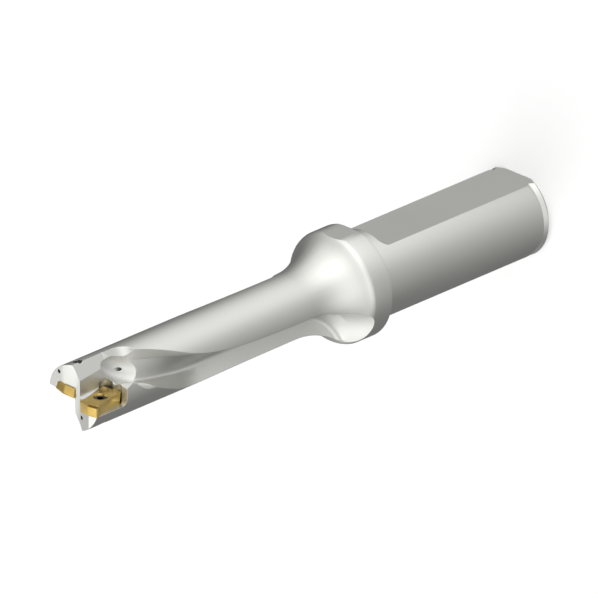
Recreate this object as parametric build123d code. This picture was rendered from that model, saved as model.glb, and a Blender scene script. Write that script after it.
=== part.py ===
"""Indexable drill: one steel body with two carbide inserts, each held by a countersunk screw.

The tool stands on its shank end. +Z runs along the axis to the tip, +Y leaves the clamping flat,
and +X is the side of the outer insert. Depths called "back" are measured from the tip plane down
the axis. The origin is the middle of the shank's end face.
"""
import os
from math import cos, exp, radians, sin, sqrt, tan

from build123d import *

# Overall tool, in millimetres
overall_length = 132.5
cut_dia = 15.0
body_dia = 14.5

# Cylindrical shank with its clamping flat
shank_dia = 20.0
shank_length = 50.0
shank_chamfer = 1.0
wall_seam_turn = 22.5
mark_groove_width = 2.2
mark_groove_depth = 0.4
flat_height = 8.2
flat_front_gap = 4.1
flat_corner_flat = 3.6
flat_side_overcut = 0.02
flat_corner_spare = 0.002

# Collar that seats on the holder's face, and the bell that runs down to the body
collar_dia = 25.0
collar_width = 5.0
collar_flat_height = 12.0
collar_back_chamfer = 0.3
bell_shoulder_radius = 3.0
bell_shoulder_start = 10.0
bell_flank_angle = 42.0

# Helical flutes: corners of the cut in the turning frame of the flute, and how the frame turns
flute_wall = -0.77
flute_root = -3.0
flute_ridge_across = 3.7
flute_ridge_depth = -1.8
flute_heel_slope = 0.44
flute_root_radius = 0.7
flute_rear_root_radius = 2.0
flute_start_back = 9.5
twist_zero_back = 18.0
twist_rate = 3.7
twist_end_back = 27.0
twist_fade_length = 9.2
flute_sections = 17
runout_radius = 10.0
runout_turn = 80.0
outer_runout_gap = 17.0
inner_runout_gap = 27.0
scoop_radius = 9.3
scoop_depth = -12.3
scoop_gap = 16.6
scoop_side_lean = -0.156
scoop_back_lean = -0.42
scoop_rim_tolerance = 0.04

# Egg-shaped pocket at the start of each flute: its middle as across, up and back, and its slant
egg_radius = 3.44
egg_half_length = 7.57
egg_middle = (4.36, 3.11, 14.23)
egg_way = (0.55, -0.26, -0.79)

# Chip pocket above each insert: an upright wall beside the web and a floor level with the insert
outer_pocket_wall = 1.03
outer_pocket_lean = 3.1
outer_pocket_ridge = 4.2
outer_ridge_across = 1.4
outer_pocket_root_radius = 0.8
outer_pocket_back = 8.6
inner_pocket_wall = -0.12
inner_pocket_ridge = 3.5
inner_pocket_root_radius = 0.1
inner_pocket_back = 5.3
inner_floor_knee = 5.2
inner_floor_outer_slope = 0.06
relief_angle = 33.0
relief_back = 12.2
relief_below_ridge = 0.5
relief_runout_radius = 5.0

# Room behind each insert, above a land that rises to the flute
outer_land_height = 1.2
outer_land_back = 8.5
inner_land_height = 0.6
inner_land_back = 5.3
inner_room_wall = 0.8
land_angle = 20.7
room_front = 1.0
room_corner_radius = 1.0
room_length = 2.9
room_height = 9.0

# Front of the tool, which follows the cutting edges a little behind them
outer_front_back = 0.4
outer_front_inner_slope = 0.2475
outer_front_outer_slope = 0.216
inner_front_back = 0.68
inner_front_outer_slope = 0.07
web_front_back = 1.25

# Outer (peripheral) insert
outer_insert_thickness = 2.5
outer_insert_up = 0.25
outer_insert_across = 3.85
outer_insert_back = 4.9
outer_insert_lean = 12.0
outer_insert_relief = 5.0
outer_nose_half_width = 2.62
outer_nose_facet = 0.35
outer_half_length = 5.0
outer_end_half_width = 2.3
outer_end_length = 4.3
outer_shoulder_half_width = 2.55
outer_shoulder_length = 3.7
outer_waist_half_width = 2.1
outer_waist_half_length = 2.6

# Inner (central) insert
inner_insert_thickness = 2.2
inner_insert_up = -0.31
inner_insert_across = 2.5
inner_insert_back = 3.4
inner_insert_roll = 8.8
inner_insert_relief = 8.0
inner_half_width = 2.6
inner_inner_length = 2.56
inner_apex_length = 3.12
inner_outer_length = 2.74

# Both inserts and their seats
edge_land_width = 0.55
edge_land_depth = 0.3
edge_land_overhang = 0.25
seat_gap = 0.04
seat_corner_bore_radius = 1.5
seat_corner_across = 1.2
seat_corner_along = 0.86
seat_end_bore_radius = 1.3
seat_end_across = 0.8
seat_end_along = 0.9
seat_opening_radius = 1.2
seat_headroom = 1.5

# Screws
screw_dia = 2.0
screw_bite = 3.0
screw_end_chamfer = 0.3
screw_head_sink = 0.35
screw_head_edge = 0.15
screw_cone_half_angle = 30.0
screw_mouth_dia = 3.2
screw_play = 0.05
socket_dia = 1.5
socket_depth = 0.8
socket_lobe_dia = 0.42

# Coolant holes: a bore from the shank end, and a branch to an outlet beside each insert
coolant_bore_dia = 3.0
coolant_mouth_dia = 8.0
coolant_mouth_depth = 12.0
coolant_mouth_chamfer = 0.5
coolant_branch_dia = 0.9
coolant_bend_back = 13.0
coolant_join_back = 21.0
outer_outlet = (2.1, -3.85)
outer_bend = (2.15, -4.9)
inner_outlet = (-4.26, 4.74)
egg_outlet = (0.4, 3.0)
egg_outlet_back = 12.0
egg_outlet_dia = 0.7

# Worked out from the sizes above
shank_radius = shank_dia / 2
collar_radius = collar_dia / 2
body_radius = body_dia / 2
far_out = collar_dia
outer_front_across = cut_dia / 2 - outer_nose_half_width
outer_wall_front = outer_pocket_wall + outer_pocket_back * tan(radians(outer_pocket_lean))
inner_rake_slope = tan(radians(inner_insert_roll))
cone_slope = tan(radians(screw_cone_half_angle))


def at_back(back):
    """Height on the axis of a place that lies this far behind the tip plane."""
    return overall_length - back


def arc_points(center, radius, start, end):
    """Start, middle and end point of an arc in the radius-height plane, angles in degrees."""
    middle = (start + end) / 2
    places = []
    for angle in (start, middle, end):
        turn = radians(angle)
        places.append((center[0] + radius * cos(turn), center[1] + radius * sin(turn)))
    return places


def turned_blank():
    """Shank, collar, bell and body as one turned bar."""
    groove_start = shank_chamfer
    groove_bottom = (shank_radius - mark_groove_depth, groove_start + mark_groove_width / 2)
    groove_end = groove_start + mark_groove_width
    edge = (collar_radius, shank_length + collar_width)
    # The shoulder bulges outward from the collar edge and the throat curves back to the body
    start, flank = bell_shoulder_start, bell_flank_angle
    shoulder_center = (
        edge[0] - bell_shoulder_radius * cos(radians(start)),
        edge[1] - bell_shoulder_radius * sin(radians(start)),
    )
    shoulder = arc_points(shoulder_center, bell_shoulder_radius, start, flank)
    throat_radius = (shoulder[2][0] - body_radius) / (1 - cos(radians(flank)))
    throat_center = (
        body_radius + throat_radius,
        shoulder[2][1] + throat_radius * sin(radians(flank)),
    )
    throat = arc_points(throat_center, throat_radius, 180 + flank, 180)
    with BuildSketch(Plane.XZ) as profile:
        with BuildLine():
            Polyline(
                (0, 0),
                (shank_radius - shank_chamfer, 0),
                (shank_radius, groove_start),
                groove_bottom,
                (shank_radius, groove_end),
                (shank_radius, shank_length),
                (collar_radius - collar_back_chamfer, shank_length),
                (collar_radius, shank_length + collar_back_chamfer),
                edge,
            )
            ThreePointArc(*shoulder)
            ThreePointArc(*throat)
            Polyline(throat[2], (body_radius, overall_length), (0, overall_length), (0, 0))
        make_face()
    return Rot(0, 0, wall_seam_turn) * revolve(profile.sketch, axis=Axis.Z)


def shank_flat():
    """Clamping flat: it opens at the shank end and stops in front with two rounded corners."""
    half_width = sqrt(shank_radius**2 - flat_height**2) + flat_side_overcut
    corner_radius = half_width - flat_corner_flat
    front = shank_length - flat_front_gap
    shoulder = front - corner_radius
    plan = Plane(origin=(0, flat_height, 0), x_dir=(1, 0, 0), z_dir=(0, -1, 0))
    with BuildSketch(plan) as outline:
        with Locations((0, (shoulder - 1) / 2)):
            Rectangle(2 * shank_radius + 2, shoulder + 1)
        with Locations((0, shoulder)):
            Rectangle(2 * half_width, 2 * corner_radius)
        front_corners = outline.vertices().sort_by(Axis.Y)[-2:]
        fillet(front_corners, corner_radius - flat_corner_spare)
    return extrude(outline.sketch, amount=-shank_radius)


def collar_flat():
    """Small flat on the collar and bell, in line with the clamping flat."""
    depth = collar_radius - collar_flat_height + 1
    length = collar_width + 2 * bell_shoulder_radius
    place = Location((0, collar_flat_height + depth / 2, shank_length + length / 2 - 1))
    return place * Box(collar_dia, depth, length)


def flute_turn(back):
    """Angle of the flute's leading wall at a depth behind the tip, in degrees."""
    if back <= twist_end_back:
        return twist_rate * (back - twist_zero_back)
    turned = twist_rate * (twist_end_back - twist_zero_back)
    rest = twist_rate * twist_fade_length
    return turned + rest * (1 - exp(-(back - twist_end_back) / twist_fade_length))


def flute_plane(back):
    """Frame of the flute: X square to the leading wall, Y from outside to the core."""
    turn = radians(flute_turn(back))
    return Plane(
        origin=(0, 0, at_back(back)), x_dir=(sin(turn), cos(turn), 0), z_dir=(0, 0, 1)
    )


def flute_outline(back):
    """Cross-section of the cut: leading wall, rounded root, ridge and heel."""
    reach = body_dia - 1
    outside = -(runout_radius + 1)
    heel_end = flute_ridge_depth - flute_heel_slope * (reach - flute_ridge_across)
    rear_share = (back - flute_start_back) / (overall_length - shank_length)
    with BuildSketch(flute_plane(back)) as outline:
        with BuildLine():
            Polyline(
                (flute_wall, outside),
                (flute_wall, flute_root),
                (flute_ridge_across, flute_ridge_depth),
                (reach, heel_end),
                (reach, outside),
                close=True,
            )
        make_face()
        root = outline.vertices().sort_by_distance((flute_wall, flute_root, 0))[0]
        growth = flute_rear_root_radius - flute_root_radius
        fillet(root, flute_root_radius + growth * rear_share)
    return outline.sketch


def flute_cuts(runout_gap):
    """Twisted flute and the arc in which its section leaves the body at the rear."""
    end_back = at_back(shank_length + runout_gap)
    step = (end_back - flute_start_back) / (flute_sections - 1)
    stations = [flute_start_back + i * step for i in range(flute_sections)]
    twisted = loft([flute_outline(back).face() for back in stations])
    frame = flute_plane(end_back)
    pivot = frame.from_local_coords(Vector(0, flute_root - runout_radius, 0))
    turn_axis = Axis(pivot, -frame.x_dir)
    arc = revolve(flute_outline(end_back), axis=turn_axis, revolution_arc=runout_turn)
    return [twisted, arc]


def bell_scoop():
    """Round scoop that opens the outer flute through the bell, on a slant to the leading wall."""
    frame = flute_plane(at_back(shank_length + scoop_gap))
    start = frame.from_local_coords(Vector(flute_wall, scoop_depth, 0))
    side = frame.y_dir * scoop_side_lean
    slant = frame.x_dir + side + Vector(0, 0, scoop_back_lean)
    wall = Plane(origin=start, x_dir=(0, 0, 1), z_dir=frame.x_dir)
    with BuildSketch(wall) as circle:
        Circle(scoop_radius)
    scoop = extrude(circle.sketch, amount=body_dia + collar_dia, dir=slant)
    rim = scoop.edges().sort_by_distance(start)
    wall_rim = []
    for edge in rim:
        if abs((edge.center() - start).dot(frame.x_dir)) < scoop_rim_tolerance:
            wall_rim.append(edge)
    return fillet(wall_rim, flute_rear_root_radius)


def egg_pocket():
    """Egg-shaped pocket where the flute starts."""
    with BuildSketch(Plane.XZ) as profile:
        Ellipse(egg_radius, egg_half_length)
        with Locations((-egg_radius, 0)):
            Rectangle(2 * egg_radius, 3 * egg_half_length, mode=Mode.SUBTRACT)
    egg = revolve(profile.sketch, axis=Axis.Z)
    across, up, back = egg_middle
    return Plane(origin=(across, up, at_back(back)), z_dir=egg_way).location * egg


def chip_pocket(floor_line, root_radius, back, lean):
    """Room above an insert: a wall beside the web, a floor level with the insert, a round root."""
    wall, floor = floor_line[0]
    with BuildSketch(Plane.XY.offset(at_back(back))) as section:
        with BuildLine():
            Polyline(*floor_line, (far_out, far_out), (wall, far_out), close=True)
        make_face()
        root = section.vertices().sort_by_distance((wall, floor, 0))[0]
        fillet(root, root_radius)
    tilt = radians(lean)
    way = (sin(tilt), 0, cos(tilt))
    return extrude(section.sketch, amount=(back + 1) / cos(tilt), dir=way)


def relief_cut(across, ridge):
    """Flat that relieves the lobe above the pocket wall and runs out in an arc."""
    turn = radians(90 - relief_angle)
    low = ridge - relief_below_ridge
    start = across + relief_below_ridge * tan(radians(relief_angle))
    frame = Plane(origin=(start, low, 0), x_dir=(sin(turn), cos(turn), 0),
                  z_dir=(cos(turn), -sin(turn), 0))
    straight_end = at_back(relief_back)
    lift = body_radius / 2
    with BuildSketch(frame) as profile:
        with BuildLine():
            run = sqrt(relief_runout_radius**2 - (relief_runout_radius - lift) ** 2)
            RadiusArc((0, straight_end), (lift, straight_end - run), -relief_runout_radius)
            Polyline(
                (lift, straight_end - run), (body_dia, straight_end - run),
                (body_dia, overall_length + 1), (0, overall_length + 1), (0, straight_end),
            )
        make_face()
    return extrude(profile.sketch, amount=-body_dia)


def land_room(wall, height, back, lean):
    """Room behind an insert: its floor is the sloping land and its inner rear corner is round."""
    tilt = radians(land_angle)
    lean_slope = tan(radians(lean))
    land = Plane(origin=(0, height, at_back(back)), x_dir=(1, 0, 0), z_dir=(0, cos(tilt), sin(tilt)))
    front_wall = wall + lean_slope * cos(tilt) * room_front
    rear_wall = wall - lean_slope * cos(tilt) * room_length
    with BuildSketch(land) as plan:
        with BuildLine():
            Polyline(
                (front_wall, -room_front),
                (rear_wall, room_length),
                (far_out, room_length),
                (far_out, -room_front),
                close=True,
            )
        make_face()
        corner = plan.vertices().sort_by_distance((rear_wall, room_length, 0))[0]
        fillet(corner, room_corner_radius)
    way = (lean_slope * sin(tilt), cos(tilt), sin(tilt))
    return extrude(plan.sketch, amount=room_height, dir=way)


def front_cut():
    """Everything in front of the two lobes and the web between them."""
    web_start = -inner_pocket_wall
    inner_apex = -inner_insert_across
    inner_end = inner_front_back + inner_front_outer_slope * (body_dia + inner_apex)
    inner_run = outer_front_across - outer_wall_front
    outer_start = outer_front_back + outer_front_inner_slope * inner_run
    outer_end = outer_front_back + outer_front_outer_slope * (body_dia - outer_front_across)
    corners = [
        (-body_dia, inner_end),
        (inner_apex, inner_front_back),
        (web_start, web_front_back),
        (outer_wall_front, outer_start),
        (outer_front_across, outer_front_back),
        (body_dia, outer_end),
        (body_dia, -1),
        (-body_dia, -1),
    ]
    with BuildSketch(Plane.XZ) as profile:
        Polygon(*[(across, at_back(back)) for across, back in corners], align=None)
    return extrude(profile.sketch, amount=body_dia, both=True)


def outer_insert_frame():
    """Middle of the outer insert's top face: X outward, Y to the rear, Z up."""
    lean = radians(outer_insert_lean)
    return Plane(
        origin=(outer_insert_across, outer_insert_up, at_back(outer_insert_back)),
        x_dir=(cos(lean), 0, -sin(lean)),
        z_dir=(0, 1, 0),
    )


def inner_insert_frame():
    """Middle of the inner insert's top face, turned half round the axis and rolled."""
    roll = radians(inner_insert_roll)
    return Plane(
        origin=(-inner_insert_across, -inner_insert_up, at_back(inner_insert_back)),
        x_dir=(-cos(roll), sin(roll), 0),
        z_dir=(-sin(roll), -cos(roll), 0),
    )


def two_fold(points):
    """Outline whose second half is the first one turned half round."""
    return points + [(-x, -y) for x, y in points]


def outer_insert_outline():
    """Outline of the outer insert's top face."""
    nose_side = outer_half_length - outer_nose_facet
    nose_front = outer_nose_half_width - outer_nose_facet
    return two_fold([
        (-outer_end_half_width, -outer_end_length),
        (0, -outer_half_length),
        (nose_front, -outer_half_length),
        (outer_nose_half_width, -nose_side),
        (outer_waist_half_width, -outer_waist_half_length),
        (outer_waist_half_width, outer_waist_half_length),
        (outer_shoulder_half_width, outer_shoulder_length),
    ])


def inner_insert_outline():
    """Outline of the inner insert's top face."""
    return two_fold([
        (-inner_half_width, -inner_inner_length),
        (0, -inner_apex_length),
        (inner_half_width, -inner_outer_length),
    ])


def screw_hole_in_insert(thickness):
    """Countersink and clearance hole of an insert."""
    mouth = screw_mouth_dia / 2
    bore = screw_dia / 2 + 2 * screw_play
    cone_depth = (mouth - bore) / cone_slope
    cone = Pos(0, 0, -cone_depth / 2) * Cone(bore, mouth, cone_depth)
    return cone + Pos(0, 0, -thickness) * Cylinder(bore, 2 * thickness)


def insert_solid(outline, thickness, relief):
    """Insert with relieved flanks and a countersunk hole."""
    top = make_face(Polyline(*outline, close=True))
    return extrude(top, amount=-thickness, taper=relief) - screw_hole_in_insert(thickness)


def edge_steps(nose, half_length):
    """Chip-breaking steps behind the two opposite cutting edges of the outer insert."""
    width = nose + edge_land_overhang
    step = Pos(width / 2, -half_length, 0) * Box(width, 2 * edge_land_width, 2 * edge_land_depth)
    return [step, Rot(0, 0, 180) * step]


def screw_solid(thickness):
    """Countersunk screw with a six-lobed socket, along its own axis from the rake face down."""
    mouth = screw_mouth_dia / 2
    top = -screw_head_sink
    edge_end = top - screw_head_edge
    edge_radius = mouth + edge_end * cone_slope
    radius = screw_dia / 2
    end = -(thickness + screw_bite)
    with BuildSketch(Plane.XZ) as profile:
        Polygon(
            (0, top),
            (edge_radius, top),
            (edge_radius, edge_end),
            (radius, edge_end - (edge_radius - radius) / cone_slope),
            (radius, end + screw_end_chamfer),
            (radius - screw_end_chamfer, end),
            (0, end),
            align=None,
        )
    screw = revolve(profile.sketch, axis=Axis.Z)
    lobe = socket_lobe_dia / 2
    with BuildSketch(Plane.XY.offset(top - socket_depth)) as socket:
        Circle(socket_dia / 2 - lobe / 2)
        with PolarLocations(socket_dia / 2 - lobe, 6):
            Circle(lobe)
        with PolarLocations(socket_dia / 2 + lobe / 3, 6, start_angle=30):
            Circle(lobe, mode=Mode.SUBTRACT)
    return screw - extrude(socket.sketch, amount=socket_depth + 1)


def outer_seat_opening():
    """Area beside the outer insert where its seat is open to the outside and to the front."""
    fall = (outer_half_length - outer_end_length) / outer_end_half_width
    return [
        (0, outer_half_length),
        (body_dia, outer_half_length - fall * body_dia),
        (body_dia, -2 * outer_half_length),
        (0, -2 * outer_half_length),
    ]


def seat_cut(frame, outline, openings, bores, thickness, relief):
    """Seat of an insert: walls that follow its flanks, round corners and room to set it in."""
    with BuildSketch(Plane.XY) as plan:
        Polygon(*outline, align=None)
        offset(amount=seat_gap, kind=Kind.INTERSECTION)
    seat = extrude(plan.sketch, amount=-thickness, taper=relief)
    seat = seat + extrude(plan.sketch, amount=seat_headroom)
    height = thickness + seat_headroom
    bottom = Pos(0, 0, -thickness)
    for opening in openings:
        room = bottom * extrude(make_face(Polyline(*opening, close=True)), amount=height)
        rear_edge = room.edges().group_by(Axis.Z)[0].sort_by(Axis.Y)[-1]
        seat = seat + fillet(rear_edge, seat_opening_radius)
    for across, along, radius in bores:
        seat = seat + Pos(across, along, height / 2 - thickness) * Cylinder(radius, height)
    return frame.location * seat


def tapped_hole(frame):
    """Hole for an insert's screw, right through to the outside of the body."""
    radius = screw_dia / 2 + screw_play
    return frame.location * (Pos(0, 0, -body_dia / 2) * Cylinder(radius, body_dia))


def drilled(start, end, dia):
    """Round hole between two points."""
    way = Vector(*end) - Vector(*start)
    with BuildSketch(Plane(origin=start, z_dir=way)) as mouth:
        Circle(dia / 2)
    return extrude(mouth.sketch, amount=way.length)


def coolant_holes():
    """Central bore with a wide mouth, and the two branches to the tip."""
    join = (0, 0, at_back(coolant_join_back))
    holes = drilled((0, 0, -1), join, coolant_bore_dia)
    holes = holes + drilled((0, 0, -1), (0, 0, coolant_mouth_depth), coolant_mouth_dia)
    mouth = coolant_mouth_dia / 2
    countersink = Cone(mouth + 2 * coolant_mouth_chamfer, mouth, 2 * coolant_mouth_chamfer)
    holes = holes + countersink
    egg_end = (egg_outlet[0], egg_outlet[1], at_back(egg_outlet_back))
    holes = holes + drilled(egg_end, join, egg_outlet_dia)
    for outlet, bend in ((outer_outlet, outer_bend), (inner_outlet, inner_outlet)):
        turn = (bend[0], bend[1], at_back(coolant_bend_back))
        holes = holes + drilled((outlet[0], outlet[1], at_back(0)), turn, coolant_branch_dia)
        holes = holes + drilled(turn, join, coolant_branch_dia)
        holes = holes + Pos(*turn) * Sphere(coolant_branch_dia / 2)
    return holes


def outer_pockets(body):
    """Cuts the chip pocket, relief, room and seat of the outer insert."""
    floor_line = [(outer_pocket_wall, outer_insert_up), (far_out, outer_insert_up)]
    body = body - chip_pocket(
        floor_line, outer_pocket_root_radius, outer_pocket_back, outer_pocket_lean
    )
    body = body - relief_cut(outer_ridge_across, outer_pocket_ridge)
    room_gap = outer_pocket_back - outer_land_back
    room_wall = outer_pocket_wall + room_gap * tan(radians(outer_pocket_lean))
    body = body - land_room(room_wall, outer_land_height, outer_land_back, outer_pocket_lean)
    inner_corner = (
        seat_corner_across - outer_nose_half_width,
        outer_half_length - seat_corner_along,
        seat_corner_bore_radius,
    )
    outer_corner = (
        outer_end_half_width - seat_end_across,
        outer_end_length - seat_end_along,
        seat_end_bore_radius,
    )
    return body - seat_cut(
        outer_insert_frame(),
        outer_insert_outline(),
        [outer_seat_opening()],
        [inner_corner, outer_corner],
        outer_insert_thickness,
        outer_insert_relief,
    )


def inner_pockets(body):
    """Cuts the chip pocket, relief, room and seat of the inner insert."""
    floor = inner_insert_up + inner_rake_slope * (inner_insert_across - inner_pocket_wall)
    knee = floor - inner_rake_slope * (inner_floor_knee - inner_pocket_wall)
    edge = knee - inner_floor_outer_slope * (far_out - inner_floor_knee)
    floor_line = [(inner_pocket_wall, floor), (inner_floor_knee, knee), (far_out, edge)]
    turn = Rot(0, 0, 180)
    body = body - turn * chip_pocket(floor_line, inner_pocket_root_radius, inner_pocket_back, 0)
    body = body - turn * relief_cut(inner_pocket_wall, inner_pocket_ridge)
    body = body - turn * land_room(inner_room_wall, inner_land_height, inner_land_back, 0)
    corner = (
        seat_corner_across - inner_half_width,
        inner_outer_length - seat_corner_along,
        seat_corner_bore_radius,
    )
    return body - seat_cut(
        inner_insert_frame(),
        inner_insert_outline(),
        [],
        [corner],
        inner_insert_thickness,
        inner_insert_relief,
    )


def drill_body():
    """The whole steel body."""
    body = turned_blank() - shank_flat() - collar_flat()
    for half, runout_gap in ((0, outer_runout_gap), (180, inner_runout_gap)):
        turn = Rot(0, 0, half)
        for cut in flute_cuts(runout_gap):
            body = body - turn * cut
        body = body - turn * egg_pocket()
    body = body - bell_scoop()
    body = outer_pockets(body)
    body = inner_pockets(body)
    body = body - front_cut()
    body = body - tapped_hole(outer_insert_frame()) - tapped_hole(inner_insert_frame())
    return body - coolant_holes()


def save(shape, node):
    """Write one node as a STEP file."""
    export_step(shape, f"parts/{node}.step")
    print(node, "volume", round(shape.volume, 2), "solids", len(shape.solids()))


os.makedirs("parts", exist_ok=True)
outer_place = outer_insert_frame().location
inner_place = inner_insert_frame().location
outer = insert_solid(outer_insert_outline(), outer_insert_thickness, outer_insert_relief)
for step in edge_steps(outer_nose_half_width, outer_half_length):
    outer = outer - step
inner = insert_solid(inner_insert_outline(), inner_insert_thickness, inner_insert_relief)
save(drill_body(), "drill_body")
save(outer_place * outer, "peripheral_insert")
save(inner_place * inner, "central_insert")
save(outer_place * screw_solid(outer_insert_thickness), "peripheral_insert_screw")
save(inner_place * screw_solid(inner_insert_thickness), "central_insert_screw")
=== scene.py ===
# %% [markdown]
# An indexable drill, dressed for its portrait. The tool is one bar of hardened steel with a
# flatted shank, a collar and two flutes, and at its tip sit two gold-coloured carbide inserts.
# The solids come from CAD in metres and in their own places. This lesson gives them smooth
# surfaces, real finishes, cut screw threads and a plain soft studio.

import math

import bmesh
import bpy
from mathutils import Matrix, Vector


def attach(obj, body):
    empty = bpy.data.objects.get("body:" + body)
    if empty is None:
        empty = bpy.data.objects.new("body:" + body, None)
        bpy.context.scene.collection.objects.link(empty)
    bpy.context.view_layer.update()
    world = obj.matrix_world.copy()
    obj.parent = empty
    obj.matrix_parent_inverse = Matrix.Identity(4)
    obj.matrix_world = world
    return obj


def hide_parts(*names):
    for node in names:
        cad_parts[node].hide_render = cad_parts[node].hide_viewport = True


MM_PER_M = 1000

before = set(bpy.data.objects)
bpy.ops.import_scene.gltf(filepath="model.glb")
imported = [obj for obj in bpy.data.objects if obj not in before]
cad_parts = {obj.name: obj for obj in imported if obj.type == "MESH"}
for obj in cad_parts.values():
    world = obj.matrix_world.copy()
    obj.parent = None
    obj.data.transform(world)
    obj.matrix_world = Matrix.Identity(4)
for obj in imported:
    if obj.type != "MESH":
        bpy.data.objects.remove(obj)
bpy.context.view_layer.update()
print("solids:", sorted(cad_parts))

# %% [markdown]
# A CAD file stores a curved wall as loose flat triangles, so it would shine in facets. A turned
# and ground bar has smooth walls that meet in crisp edges. The CAD mesh itself stays untouched:
# a copy is merged, every edge that bends more than a set angle is kept sharp, and the rest is
# shaded smooth. The copy then stands for the solid.

# %% A smooth copy of a solid
CREASE = math.radians(24)
MERGE_WITHIN = 1e-6


def smooth_copy(node, name):
    """A merged copy of a CAD node with smooth walls and sharp edges."""
    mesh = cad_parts[node].data.copy()
    mesh.name = name
    shape = bmesh.new()
    shape.from_mesh(mesh)
    bmesh.ops.remove_doubles(shape, verts=shape.verts, dist=MERGE_WITHIN)
    for face in shape.faces:
        face.smooth = True
    for edge in shape.edges:
        bend = edge.calc_face_angle(math.pi) if len(edge.link_faces) == 2 else math.pi
        edge.smooth = bend < CREASE
    shape.to_mesh(mesh)
    shape.free()
    if "custom_normal" in mesh.attributes:
        mesh.attributes.remove(mesh.attributes["custom_normal"])
    piece = bpy.data.objects.new(name, mesh)
    bpy.context.scene.collection.objects.link(piece)
    print(name, "faces", len(mesh.polygons))
    return piece


def stand_for(piece, node):
    """Puts a piece on the tool's only body in the place of its solid."""
    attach(piece, "root")
    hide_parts(node)


# %% [markdown]
# Materials share small effects, so each effect is a node group that is built once. The first is
# a slow drift in tone: no finish is even, because blasting, handling and oil leave faint clouds.

# %% Helpers for node trees
def group(name, inputs, outputs):
    """An empty shader group with named inputs and outputs. Inputs carry a default value."""
    tree = bpy.data.node_groups.new(name, "ShaderNodeTree")
    for title, kind, value in inputs:
        socket = tree.interface.new_socket(title, in_out="INPUT", socket_type=kind)
        if value is not None:
            socket.default_value = value
    for title, kind in outputs:
        tree.interface.new_socket(title, in_out="OUTPUT", socket_type=kind)
    start = tree.nodes.new("NodeGroupInput")
    end = tree.nodes.new("NodeGroupOutput")
    return tree, start.outputs, end.inputs


def add(tree, kind, **settings):
    """Adds a node. A setting it has as a property sets that, any other its input by name."""
    node = tree.nodes.new(kind)
    for title, value in settings.items():
        if hasattr(node, title):
            setattr(node, title, value)
        else:
            node.inputs[title.replace("_", " ")].default_value = value
    return node


def math_node(tree, operation, first, second=None):
    """One sum. Each operand is a socket to link or a plain number."""
    node = tree.nodes.new("ShaderNodeMath")
    node.operation = operation
    for slot, operand in enumerate((first, second)):
        if operand is None:
            continue
        if isinstance(operand, (int, float)):
            node.inputs[slot].default_value = operand
        else:
            tree.links.new(operand, node.inputs[slot])
    return node.outputs[0]


def map_range(tree, value, source=(0.0, 1.0), target=(0.0, 1.0)):
    """Stretches a value from one range to another, held at both ends."""
    node = tree.nodes.new("ShaderNodeMapRange")
    ends = ("From Min", "From Max", "To Min", "To Max")
    for title, number in zip(ends, (*source, *target)):
        node.inputs[title].default_value = number
    tree.links.new(value, node.inputs["Value"])
    return node.outputs[0]


# %% Group: slow drift in tone
def make_tone_drift():
    """Lightens and darkens a colour in slow clouds, and hands on the clouds."""
    tree, start, end = group(
        "tone_drift",
        [("Colour", "NodeSocketColor", (0.8, 0.8, 0.8, 1)), ("Place", "NodeSocketVector", None),
         ("Size", "NodeSocketFloat", 60.0), ("Amount", "NodeSocketFloat", 0.03)],
        [("Colour", "NodeSocketColor"), ("Cloud", "NodeSocketFloat")],
    )
    cloud = add(tree, "ShaderNodeTexNoise", Detail=4.0, Roughness=0.55)
    tree.links.new(start["Place"], cloud.inputs["Vector"])
    tree.links.new(start["Size"], cloud.inputs["Scale"])
    centred = math_node(tree, "SUBTRACT", cloud.outputs["Fac"], 0.5)
    swing = math_node(tree, "MULTIPLY", centred, start["Amount"])
    value = math_node(tree, "ADD", swing, 1.0)
    shift = add(tree, "ShaderNodeHueSaturation")
    tree.links.new(start["Colour"], shift.inputs["Color"])
    tree.links.new(value, shift.inputs["Value"])
    tree.links.new(shift.outputs["Color"], end["Colour"])
    tree.links.new(cloud.outputs["Fac"], end["Cloud"])
    return tree


tone_drift = make_tone_drift()
print("group:", tone_drift.name)

# %% [markdown]
# A ground shank carries rings that are finer than the eye can count: the wheel runs round the
# bar, so the height changes quickly along the axis and hardly at all around it. The rings are
# noise that is stretched flat, which keeps them uneven as real ones are.

# %% Group: rings of a ground or turned wall
RING_STRETCH = 60.0


def make_ground_rings():
    """Height of fine uneven rings around the tool's axis."""
    tree, start, end = group(
        "ground_rings",
        [("Place", "NodeSocketVector", None), ("Pitch", "NodeSocketFloat", 9000.0)],
        [("Height", "NodeSocketFloat")],
    )
    apart = add(tree, "ShaderNodeSeparateXYZ")
    tree.links.new(start["Place"], apart.inputs[0])
    along = math_node(tree, "MULTIPLY", apart.outputs["Z"], start["Pitch"])
    across = math_node(tree, "MULTIPLY", apart.outputs["X"], RING_STRETCH)
    deep = math_node(tree, "MULTIPLY", apart.outputs["Y"], RING_STRETCH)
    place = add(tree, "ShaderNodeCombineXYZ")
    tree.links.new(across, place.inputs["X"])
    tree.links.new(deep, place.inputs["Y"])
    tree.links.new(along, place.inputs["Z"])
    rings = add(tree, "ShaderNodeTexNoise", Scale=1.0, Detail=3.0, Roughness=0.6)
    tree.links.new(place.outputs[0], rings.inputs["Vector"])
    tree.links.new(rings.outputs["Fac"], end["Height"])
    return tree


ground_rings = make_ground_rings()
print("group:", ground_rings.name)

# %% [markdown]
# The front of the tool is blasted satin, so its grain has no direction. The same grain, finer
# and flatter, sits on the coated inserts and the blackened screws.

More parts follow.
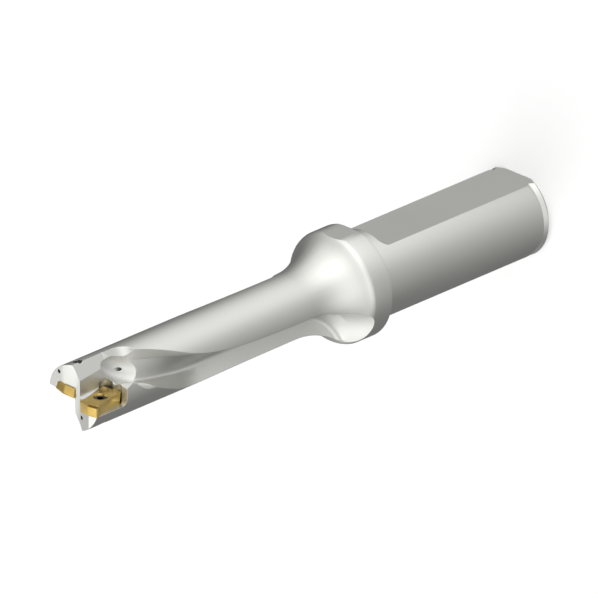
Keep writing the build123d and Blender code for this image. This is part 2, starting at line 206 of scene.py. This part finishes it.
# %% Group: grain of a blasted surface
def make_satin_grain():
    """Height of a fine grain without direction."""
    tree, start, end = group(
        "satin_grain",
        [("Place", "NodeSocketVector", None), ("Scale", "NodeSocketFloat", 5000.0)],
        [("Height", "NodeSocketFloat")],
    )
    grain = add(tree, "ShaderNodeTexNoise", Detail=5.0, Roughness=0.65)
    tree.links.new(start["Place"], grain.inputs["Vector"])
    tree.links.new(start["Scale"], grain.inputs["Scale"])
    tree.links.new(grain.outputs["Fac"], end["Height"])
    return tree


satin_grain = make_satin_grain()
print("group:", satin_grain.name)


# %% Helper: start a material
def new_material(name, metallic):
    """A material with its Principled shader and an Object coordinate ready."""
    material = bpy.data.materials.new(name)
    material.use_nodes = True
    tree = material.node_tree
    shader = tree.nodes["Principled BSDF"]
    shader.inputs["Metallic"].default_value = metallic
    place = add(tree, "ShaderNodeTexCoord").outputs["Object"]
    return material, tree, shader, place


def use(tree, inner, **inputs):
    """Places a group in a material. Each input is a socket to link or a value."""
    node = tree.nodes.new("ShaderNodeGroup")
    node.node_tree = inner
    for title, value in inputs.items():
        if isinstance(value, bpy.types.NodeSocket):
            tree.links.new(value, node.inputs[title])
        else:
            node.inputs[title].default_value = value
    return node.outputs


def soft_edges(tree, shader, height, strength, distance, edge_radius):
    """Bump from a height, on normals that are rounded over the edges."""
    rounded = add(tree, "ShaderNodeBevel", samples=6, Radius=edge_radius)
    bump = add(tree, "ShaderNodeBump", Strength=strength, Distance=distance)
    tree.links.new(rounded.outputs[0], bump.inputs["Normal"])
    tree.links.new(height, bump.inputs["Height"])
    tree.links.new(bump.outputs[0], shader.inputs["Normal"])


# %% [markdown]
# The body is tool steel with a pale, slightly warm nickel-like finish. Behind the collar it is
# ground, in front of it it is satin. One material does both: a soft step at the collar's rear
# face chooses between the rings and the grain.

# %% Material: the steel body
STEEL = (0.80, 0.80, 0.765, 1)
STEEL_ROUGHNESS = (0.34, 0.42)
COLLAR_HEIGHT = 0.050
STEP_HALF = 0.0005
EDGE_BREAK = 0.00016


def make_satin_steel():
    """Pale steel, ringed behind the collar's rear face and grained in front of it."""
    material, tree, shader, place = new_material("satin_steel", metallic=1.0)
    toned = use(tree, tone_drift, Colour=STEEL, Place=place, Size=45.0, Amount=0.05)
    tree.links.new(toned["Colour"], shader.inputs["Base Color"])
    rings = use(tree, ground_rings, Place=place, Pitch=9000.0)["Height"]
    grain = use(tree, satin_grain, Place=place, Scale=6000.0)["Height"]
    apart = add(tree, "ShaderNodeSeparateXYZ")
    tree.links.new(place, apart.inputs[0])
    step = (COLLAR_HEIGHT - STEP_HALF, COLLAR_HEIGHT + STEP_HALF)
    front = map_range(tree, apart.outputs["Z"], source=step)
    height = add(tree, "ShaderNodeMix", data_type="FLOAT")
    tree.links.new(front, height.inputs["Factor"])
    tree.links.new(rings, height.inputs["A"])
    tree.links.new(grain, height.inputs["B"])
    soft_edges(tree, shader, height.outputs["Result"], strength=0.3, distance=0.00002,
               edge_radius=EDGE_BREAK)
    rough = map_range(tree, toned["Cloud"], target=STEEL_ROUGHNESS)
    tree.links.new(rough, shader.inputs["Roughness"])
    return material


satin_steel = make_satin_steel()
print("material:", satin_steel.name)

# %% [markdown]
# A titanium nitride coating is gold, smooth and very thin. It follows the ground carbide, so it
# keeps the faint grain, and its colour drifts a little towards bronze. In the steel walls beside
# the inserts the gold would show as a strong yellow tint. Its reflection there is painted paler:
# mirrored rays meet a paler gold than camera rays, and Light Path tells them apart.

# %% Material: the coated inserts
GOLD = (0.62, 0.44, 0.13, 1)
BRONZE = (0.52, 0.36, 0.11, 1)
# Painted reflection: the paler gold that mirrored rays see in place of the insert's own gold
GOLD_PAINTED_IN_REFLECTIONS = (0.58, 0.46, 0.24, 1)
GOLD_ROUGHNESS = 0.24
BRONZE_CLOUDS = (0.42, 0.72)


def make_gold_coating():
    """Gold that drifts towards bronze, with a painted paler reflection in the steel."""
    material, tree, shader, place = new_material("gold_coating", metallic=1.0)
    cloud = add(tree, "ShaderNodeTexNoise", Scale=420.0, Detail=3.0, Roughness=0.5)
    tree.links.new(place, cloud.inputs["Vector"])
    spread = map_range(tree, cloud.outputs["Fac"], source=BRONZE_CLOUDS)
    colour = add(tree, "ShaderNodeMix", data_type="RGBA")
    colour.inputs["A"].default_value = GOLD
    colour.inputs["B"].default_value = BRONZE
    tree.links.new(spread, colour.inputs["Factor"])
    # Painted reflection: mirrored rays get the paler gold, so the steel walls mirror less yellow
    ray = add(tree, "ShaderNodeLightPath")
    mirrored = add(tree, "ShaderNodeMix", data_type="RGBA")
    tree.links.new(ray.outputs["Is Glossy Ray"], mirrored.inputs["Factor"])
    tree.links.new(colour.outputs["Result"], mirrored.inputs["A"])
    mirrored.inputs["B"].default_value = GOLD_PAINTED_IN_REFLECTIONS
    tree.links.new(mirrored.outputs["Result"], shader.inputs["Base Color"])
    grain = use(tree, satin_grain, Place=place, Scale=9000.0)["Height"]
    soft_edges(tree, shader, grain, strength=0.12, distance=0.00001, edge_radius=0.0001)
    shader.inputs["Roughness"].default_value = GOLD_ROUGHNESS
    return material


gold_coating = make_gold_coating()
print("material:", gold_coating.name)

# %% [markdown]
# The clamping screws are small, hardened and blackened. Black oxide is not flat black: oil and
# wear leave it a dark grey metal that still glints on its edges.

# %% Material: the blackened screws
BLACK_OXIDE = (0.075, 0.075, 0.08, 1)
OXIDE_ROUGHNESS = (0.25, 0.45)


def make_black_oxide():
    """Dark grey metal with uneven shine."""
    material, tree, shader, place = new_material("black_oxide", metallic=1.0)
    toned = use(tree, tone_drift, Colour=BLACK_OXIDE, Place=place, Size=700.0, Amount=0.5)
    tree.links.new(toned["Colour"], shader.inputs["Base Color"])
    grain = use(tree, satin_grain, Place=place, Scale=9000.0)["Height"]
    soft_edges(tree, shader, grain, strength=0.15, distance=0.00001, edge_radius=0.00005)
    rough = map_range(tree, toned["Cloud"], target=OXIDE_ROUGHNESS)
    tree.links.new(rough, shader.inputs["Roughness"])
    return material


black_oxide = make_black_oxide()
print("material:", black_oxide.name)


# %% The steel body
def finish_with(piece, material):
    """Gives a piece its one material."""
    piece.data.materials.clear()
    piece.data.materials.append(material)


body = smooth_copy("drill_body", "dressed_body")
finish_with(body, satin_steel)
stand_for(body, "drill_body")

# %% The two inserts
for node, name in (
    ("peripheral_insert", "dressed_peripheral_insert"),
    ("central_insert", "dressed_central_insert"),
):
    insert = smooth_copy(node, name)
    finish_with(insert, gold_coating)
    stand_for(insert, node)

# %% [markdown]
# Each insert is held by a countersunk screw. Its head with the six-lobed socket is already in
# the solid, but its thread was left as a plain rod. A thread could be lathed with a Screw
# modifier, but it follows a rule, a pointed profile that climbs a spiral, so here Geometry Nodes
# sweep the profile along a spiral curve. Every size is an input of the tree. The thread is that
# of a 2 mm screw with the usual pitch of 0.4 mm. Its flanks meet at about 75 degrees, a little
# blunter than the 60 degrees of a metric thread.

# %% Geometry Nodes: a helical thread around a core
THREAD_SIZES = {
    "Root Radius": 0.00077,
    "Depth": 0.00022,
    "Half Width": 0.00017,
    "Pitch": 0.0004,
    "Bottom": -0.0055,
    "Top": -0.0015,
}
STEPS_PER_TURN = 30
PROFILE_CORNERS = 4


def make_thread_tree():
    """Joins a spiral thread to the geometry that comes in. Its axis is Z."""
    tree = bpy.data.node_groups.new("helical_thread", "GeometryNodeTree")
    tree.interface.new_socket("Geometry", in_out="INPUT", socket_type="NodeSocketGeometry")
    for title, value in THREAD_SIZES.items():
        socket = tree.interface.new_socket(title, in_out="INPUT", socket_type="NodeSocketFloat")
        socket.default_value = value
    tree.interface.new_socket("Finish", in_out="INPUT", socket_type="NodeSocketMaterial")
    tree.interface.new_socket("Geometry", in_out="OUTPUT", socket_type="NodeSocketGeometry")
    start = tree.nodes.new("NodeGroupInput").outputs
    end = tree.nodes.new("NodeGroupOutput")
    link = tree.links.new

    # The spiral climbs from the bottom to the top of the threaded length
    length = math_node(tree, "SUBTRACT", start["Top"], start["Bottom"])
    spiral = tree.nodes.new("GeometryNodeCurveSpiral")
    spiral.inputs["Resolution"].default_value = STEPS_PER_TURN
    link(math_node(tree, "DIVIDE", length, start["Pitch"]), spiral.inputs["Rotations"])
    link(start["Root Radius"], spiral.inputs["Start Radius"])
    link(start["Root Radius"], spiral.inputs["End Radius"])
    link(length, spiral.inputs["Height"])
    upright = tree.nodes.new("GeometryNodeSetCurveNormal")
    upright.mode = "Z_UP"
    link(spiral.outputs[0], upright.inputs["Curve"])

    # A square on its corner, narrowed along the axis, has its outer corner on the crest
    ring = tree.nodes.new("GeometryNodeCurvePrimitiveCircle")
    ring.inputs["Resolution"].default_value = PROFILE_CORNERS
    ring.inputs["Radius"].default_value = 1.0
    shape = tree.nodes.new("ShaderNodeCombineXYZ")
    link(start["Depth"], shape.inputs["X"])
    link(start["Half Width"], shape.inputs["Y"])
    shape.inputs["Z"].default_value = 1.0
    profile = tree.nodes.new("GeometryNodeTransform")
    link(ring.outputs["Curve"], profile.inputs["Geometry"])
    link(shape.outputs[0], profile.inputs["Scale"])

    sweep = tree.nodes.new("GeometryNodeCurveToMesh")
    sweep.inputs["Fill Caps"].default_value = True
    link(upright.outputs[0], sweep.inputs["Curve"])
    link(profile.outputs[0], sweep.inputs["Profile Curve"])
    crisp = tree.nodes.new("GeometryNodeSetShadeSmooth")
    crisp.inputs["Shade Smooth"].default_value = False
    link(sweep.outputs[0], crisp.inputs["Geometry"])
    drop = tree.nodes.new("ShaderNodeCombineXYZ")
    link(start["Bottom"], drop.inputs["Z"])
    move = tree.nodes.new("GeometryNodeTransform")
    link(crisp.outputs[0], move.inputs["Geometry"])
    link(drop.outputs[0], move.inputs["Translation"])

    join = tree.nodes.new("GeometryNodeJoinGeometry")
    link(start["Geometry"], join.inputs[0])
    link(move.outputs[0], join.inputs[0])
    real = tree.nodes.new("GeometryNodeRealizeInstances")
    link(join.outputs[0], real.inputs[0])
    dress = tree.nodes.new("GeometryNodeSetMaterial")
    link(real.outputs[0], dress.inputs["Geometry"])
    link(start["Finish"], dress.inputs["Material"])
    link(dress.outputs[0], end.inputs[0])
    return tree


thread_tree = make_thread_tree()
print("tree:", thread_tree.name, "with inputs", ", ".join(THREAD_SIZES))

# %% [markdown]
# The thread is made in the screw's own frame: the origin is on the insert's face, Z is the
# screw's axis and the head is up. The outer screw stands square to the outer insert, and the
# inner one leans with the inner insert, which is rolled a little about the tool's axis.

# %% Where each screw stands
INNER_ROLL = math.radians(8.8)
SCREW_PLACES = {
    "peripheral_insert_screw": ((0.00385, 0.00025, 0.1276), (0, 1, 0), -0.0055),
    "central_insert_screw": (
        (-0.0025, 0.00031, 0.1291), (-math.sin(INNER_ROLL), -math.cos(INNER_ROLL), 0), -0.0052
    ),
}
SHORT_OF_END = 0.0006


def screw_frame(origin, axis):
    """Matrix from a screw's own frame to its place in the tool."""
    turn = Vector(axis).to_track_quat("Z", "X").to_matrix().to_4x4()
    return Matrix.Translation(origin) @ turn


for node, (origin, axis, _) in SCREW_PLACES.items():
    inside = screw_frame(origin, axis).inverted()
    spots = [inside @ v.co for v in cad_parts[node].data.vertices]
    low, high = min(s.z for s in spots), max(s.z for s in spots)
    widest = max(math.hypot(s.x, s.y) for s in spots)
    print(node, "from", round(low * MM_PER_M, 2), "to", round(high * MM_PER_M, 2),
          "mm, widest", round(2 * widest * MM_PER_M, 2), "mm")

# %% [markdown]
# The solid's rod is slimmed to the thread's root before the thread is joined to it, and with it
# the narrow end of the cone under the head and the wide edge of the chamfer. The head, the socket
# and the small end face stay as they are, so the screw keeps its head and its length.

# %% The two screws
UNDER_HEAD = -0.0009


def set_input(modifier, title, value):
    """Sets an input of a Geometry Nodes modifier by the identifier of its socket."""
    for item in modifier.node_group.interface.items_tree:
        if item.item_type == "SOCKET" and item.in_out == "INPUT" and item.name == title:
            modifier[item.identifier] = value


def threaded_screw(node, name, place, tip):
    """A screw with its thread, made in its own frame and then put in its place."""
    core = smooth_copy(node, name + "_core")
    inside = place.inverted()
    for vertex in core.data.vertices:
        spot = inside @ vertex.co
        out = math.hypot(spot.x, spot.y)
        if spot.z < UNDER_HEAD and out > THREAD_SIZES["Root Radius"]:
            slim = THREAD_SIZES["Root Radius"] / out
            spot.x, spot.y = spot.x * slim, spot.y * slim
        vertex.co = spot
    modifier = core.modifiers.new("thread", "NODES")
    modifier.node_group = thread_tree
    for title, value in THREAD_SIZES.items():
        set_input(modifier, title, value)
    set_input(modifier, "Bottom", tip + SHORT_OF_END)
    set_input(modifier, "Finish", black_oxide)
    seen = core.evaluated_get(bpy.context.evaluated_depsgraph_get())
    mesh = bpy.data.meshes.new_from_object(seen)
    bpy.data.objects.remove(core)
    mesh.transform(place)
    screw = bpy.data.objects.new(name, mesh)
    bpy.context.scene.collection.objects.link(screw)
    print(name, "faces", len(mesh.polygons))
    return screw


for node, (origin, axis, tip) in SCREW_PLACES.items():
    screw = threaded_screw(node, "dressed_" + node, screw_frame(origin, axis), tip)
    finish_with(screw, black_oxide)
    stand_for(screw, node)

# %% [markdown]
# Studio. The tool stands on its shank end, as it does in a rack. The camera looks from the side
# of the tip through a long lens, so the bar hardly tapers in the picture. Its direction and scale
# were fitted to the reference picture.

# %% Camera
IMAGE = 598
SENSOR = 36.0
AWAY = 5.9
PIXELS_PER_MM = 4.7457
SHANK_END_PIXEL = (518.3, 208.9)
TOWARDS_CAMERA = Vector((0.640, 0.425, 0.641)).normalized()
CLIP = (0.1, 50)


def make_camera():
    """A long lens, aimed so that the shank's end falls on its pixel."""
    right = Vector((1, 0, -1)).normalized()
    up = TOWARDS_CAMERA.cross(right).normalized()
    right = up.cross(TOWARDS_CAMERA)
    half = IMAGE / 2
    shift_x = (SHANK_END_PIXEL[0] - half) / PIXELS_PER_MM / MM_PER_M
    shift_y = (half - SHANK_END_PIXEL[1]) / PIXELS_PER_MM / MM_PER_M
    spot = TOWARDS_CAMERA * AWAY - right * shift_x - up * shift_y
    camera = bpy.data.cameras.new("portrait_camera")
    camera.sensor_width = SENSOR
    camera.lens = PIXELS_PER_MM * AWAY * MM_PER_M / IMAGE * SENSOR
    camera.clip_start, camera.clip_end = CLIP
    holder = bpy.data.objects.new("portrait_camera", camera)
    holder.matrix_world = Matrix((
        (right.x, up.x, TOWARDS_CAMERA.x, spot.x),
        (right.y, up.y, TOWARDS_CAMERA.y, spot.y),
        (right.z, up.z, TOWARDS_CAMERA.z, spot.z),
        (0, 0, 0, 1),
    ))
    bpy.context.scene.collection.objects.link(holder)
    bpy.context.scene.camera = holder
    return camera


camera = make_camera()
print("lens in mm:", round(camera.lens))

# %% [markdown]
# Metal is only as lively as what it mirrors, so the studio is lit all round by soft boxes. They
# could be area lamps, but a long bar would then brighten towards each lamp. In the world they
# are infinitely far away, so both ends of the bar get the same light. Each box is a round glow
# around its direction: e to the power of the sharpness times the cosine minus one. The gaps
# between the boxes work like black cards and give the walls their dark sides. What the camera
# itself sees of the world is plain white. Mirrored rays don't see that white but the boxes,
# because white all round would give every wall of the bar one flat tone.
#
# Each box in the list has its name, its direction, its sharpness and its amount.

# %% World
WIDE, NARROW = 6.0, 16.0
PLAIN_WHITE = 1.0
SOFT_BOXES = (
    ("key, above the flats", (0.29, 0.92, 0.28), WIDE, 1.36),
    ("high front", (0.83, 0.30, 0.47), WIDE, 0.80),
    ("right side", (0.96, -0.21, 0.16), WIDE, 0.77),
    ("high back", (0.05, -0.53, 0.84), WIDE, 0.83),
    ("high back left", (-0.39, -0.75, 0.53), WIDE, 0.85),
    ("spot on the flanks", (-0.28, -0.36, 0.89), NARROW, 0.58),
    ("left side", (-0.84, -0.49, 0.22), WIDE, 0.28),
    ("left of the flats", (-0.57, 0.81, 0.09), WIDE, 0.75),
    ("behind", (-0.13, -0.99, 0.03), WIDE, 0.27),
    ("level with the flats", (-0.05, 0.97, -0.22), WIDE, 0.34),
    ("low front", (0.42, 0.74, -0.53), WIDE, 0.52),
    ("low left", (-0.27, 0.64, -0.72), WIDE, 0.43),
    ("low right", (0.48, 0.25, -0.84), WIDE, 0.29),
    ("straight below", (0.13, -0.21, -0.97), WIDE, 0.39),
)


def make_studio_world():
    """Adds up the glows of the soft boxes, behind a plain white for the camera."""
    world = bpy.data.worlds.new("studio")
    bpy.context.scene.world = world
    world.use_nodes = True
    tree = world.node_tree
    background = tree.nodes["Background"]
    way = add(tree, "ShaderNodeTexCoord").outputs["Generated"]
    level = None
    for title, direction, sharpness, amount in SOFT_BOXES:
        facing = add(tree, "ShaderNodeVectorMath", operation="DOT_PRODUCT")
        facing.label = title
        tree.links.new(way, facing.inputs[0])
        facing.inputs[1].default_value = Vector(direction).normalized()
        away = math_node(tree, "SUBTRACT", facing.outputs["Value"], 1.0)
        power = math_node(tree, "MULTIPLY", away, sharpness)
        glow = math_node(tree, "EXPONENT", power)
        lit = math_node(tree, "MULTIPLY", glow, amount)
        level = lit if level is None else math_node(tree, "ADD", level, lit)
    ray = add(tree, "ShaderNodeLightPath")
    plain = math_node(tree, "MAXIMUM", ray.outputs["Is Camera Ray"],
                      ray.outputs["Is Transmission Ray"])
    seen = add(tree, "ShaderNodeMix", data_type="FLOAT")
    tree.links.new(plain, seen.inputs["Factor"])
    tree.links.new(level, seen.inputs["A"])
    seen.inputs["B"].default_value = PLAIN_WHITE
    tree.links.new(seen.outputs["Result"], background.inputs["Strength"])
    background.inputs["Color"].default_value = (1, 1, 1, 1)
    return world


studio = make_studio_world()
print("world:", studio.name)

# %% [markdown]
# The floor is pale and carries the tool's soft shadow. A little glow that only the camera sees
# brings it up to the white of the background. Mirrored rays pass through it to the studio, so
# that the shank is lit as evenly near the floor as at the tip.

# %% Floor
FLOOR_HALF = 1.2
FLOOR_WHITE = (0.93, 0.93, 0.93, 1)
FLOOR_GLOW = 0.34


def make_floor():
    """A pale floor that takes shadows and that mirrored rays don't meet."""
    mesh = bpy.data.meshes.new("studio_floor")
    corners = [(-FLOOR_HALF, -FLOOR_HALF, 0), (FLOOR_HALF, -FLOOR_HALF, 0),
               (FLOOR_HALF, FLOOR_HALF, 0), (-FLOOR_HALF, FLOOR_HALF, 0)]
    mesh.from_pydata(corners, [], [(0, 1, 2, 3)])
    floor = bpy.data.objects.new("studio_floor", mesh)
    bpy.context.scene.collection.objects.link(floor)
    material = bpy.data.materials.new("floor_white")
    material.use_nodes = True
    tree = material.node_tree
    tree.nodes.clear()
    matte = add(tree, "ShaderNodeBsdfDiffuse", Color=FLOOR_WHITE)
    glow = add(tree, "ShaderNodeEmission")
    clear = add(tree, "ShaderNodeBsdfTransparent")
    ray = add(tree, "ShaderNodeLightPath")
    lifted = add(tree, "ShaderNodeAddShader")
    tree.links.new(matte.outputs[0], lifted.inputs[0])
    tree.links.new(glow.outputs[0], lifted.inputs[1])
    glow.inputs["Strength"].default_value = FLOOR_GLOW
    camera_side = add(tree, "ShaderNodeMixShader")
    tree.links.new(ray.outputs["Is Camera Ray"], camera_side.inputs[0])
    tree.links.new(matte.outputs[0], camera_side.inputs[1])
    tree.links.new(lifted.outputs[0], camera_side.inputs[2])
    mirrored = add(tree, "ShaderNodeMixShader")
    tree.links.new(ray.outputs["Is Glossy Ray"], mirrored.inputs[0])
    tree.links.new(camera_side.outputs[0], mirrored.inputs[1])
    tree.links.new(clear.outputs[0], mirrored.inputs[2])
    out = add(tree, "ShaderNodeOutputMaterial")
    tree.links.new(mirrored.outputs[0], out.inputs["Surface"])
    mesh.materials.append(material)
    return floor


floor = make_floor()
print("floor:", floor.name)

# %% Colour management
bpy.context.scene.view_settings.view_transform = "Standard"
